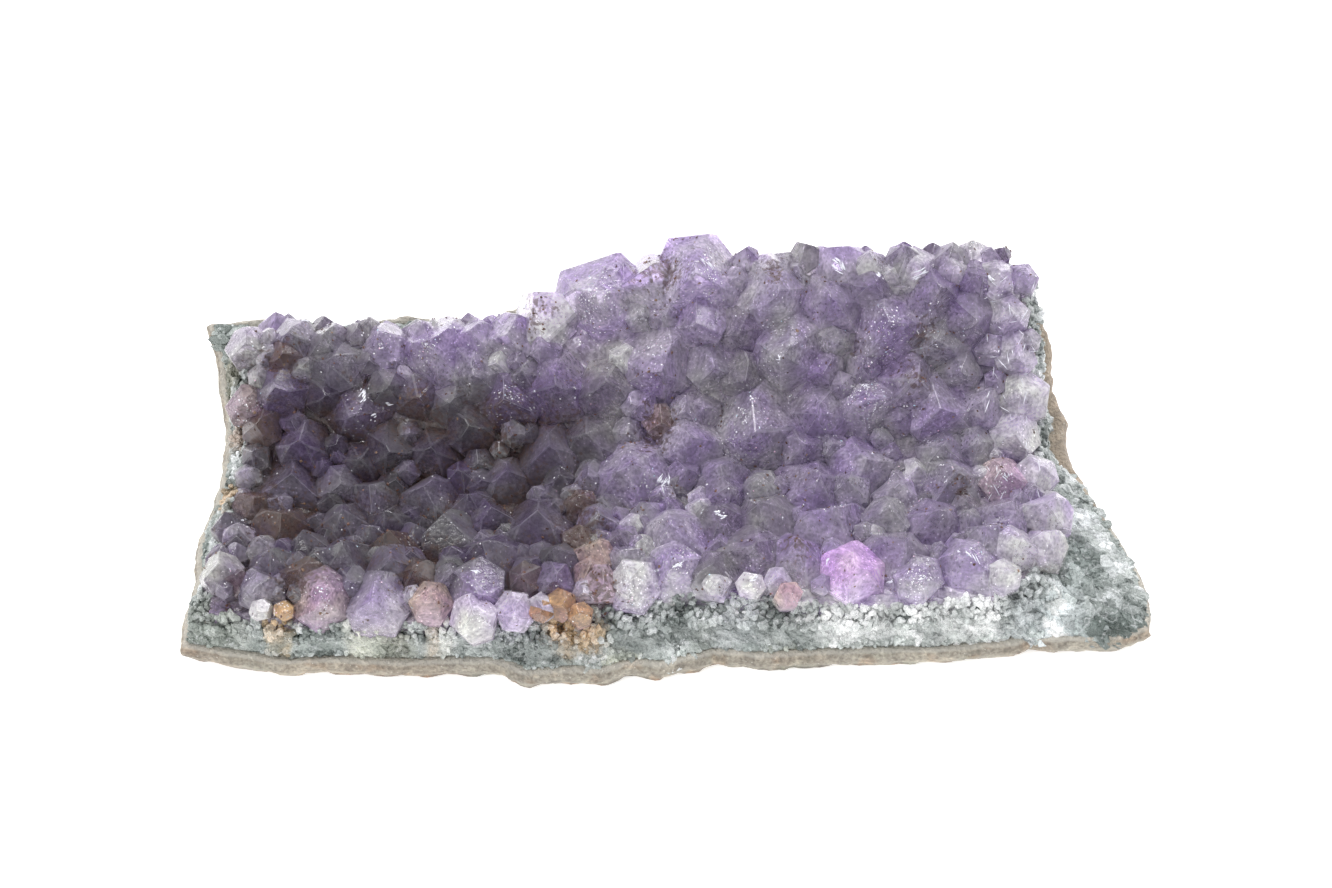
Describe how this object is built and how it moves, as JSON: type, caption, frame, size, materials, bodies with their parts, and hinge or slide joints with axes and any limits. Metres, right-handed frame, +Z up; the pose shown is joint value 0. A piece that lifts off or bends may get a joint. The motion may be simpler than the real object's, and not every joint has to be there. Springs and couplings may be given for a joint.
{
  "type": "amethyst geode fragment",
  "caption": "Loose piece of geode wall: a thin tan agate rind, a layer of granular grey quartz and a trough-shaped crust of hazy violet amethyst points; rests on its rind.",
  "frame": {"origin": "bottom centre of the overall box, on the surface that the rind rests on", "axes": "+X to the viewer's right along the length, +Y away from the viewer toward the high crest, +Z up"},
  "size_m": [0.1074, 0.0516, 0.0251],
  "materials": {
    "rind": "rough tan agate skin with pale flecks",
    "quartz": "granular, grey-green to white, ochre stains",
    "amethyst": "hazy violet crystal with flat glossy and frosted faces"
  },
  "bodies": {
    "root": {"agate_rind": "rind", "granular_quartz": "quartz", "amethyst_crystals": "amethyst"}
  },
  "joints": []
}
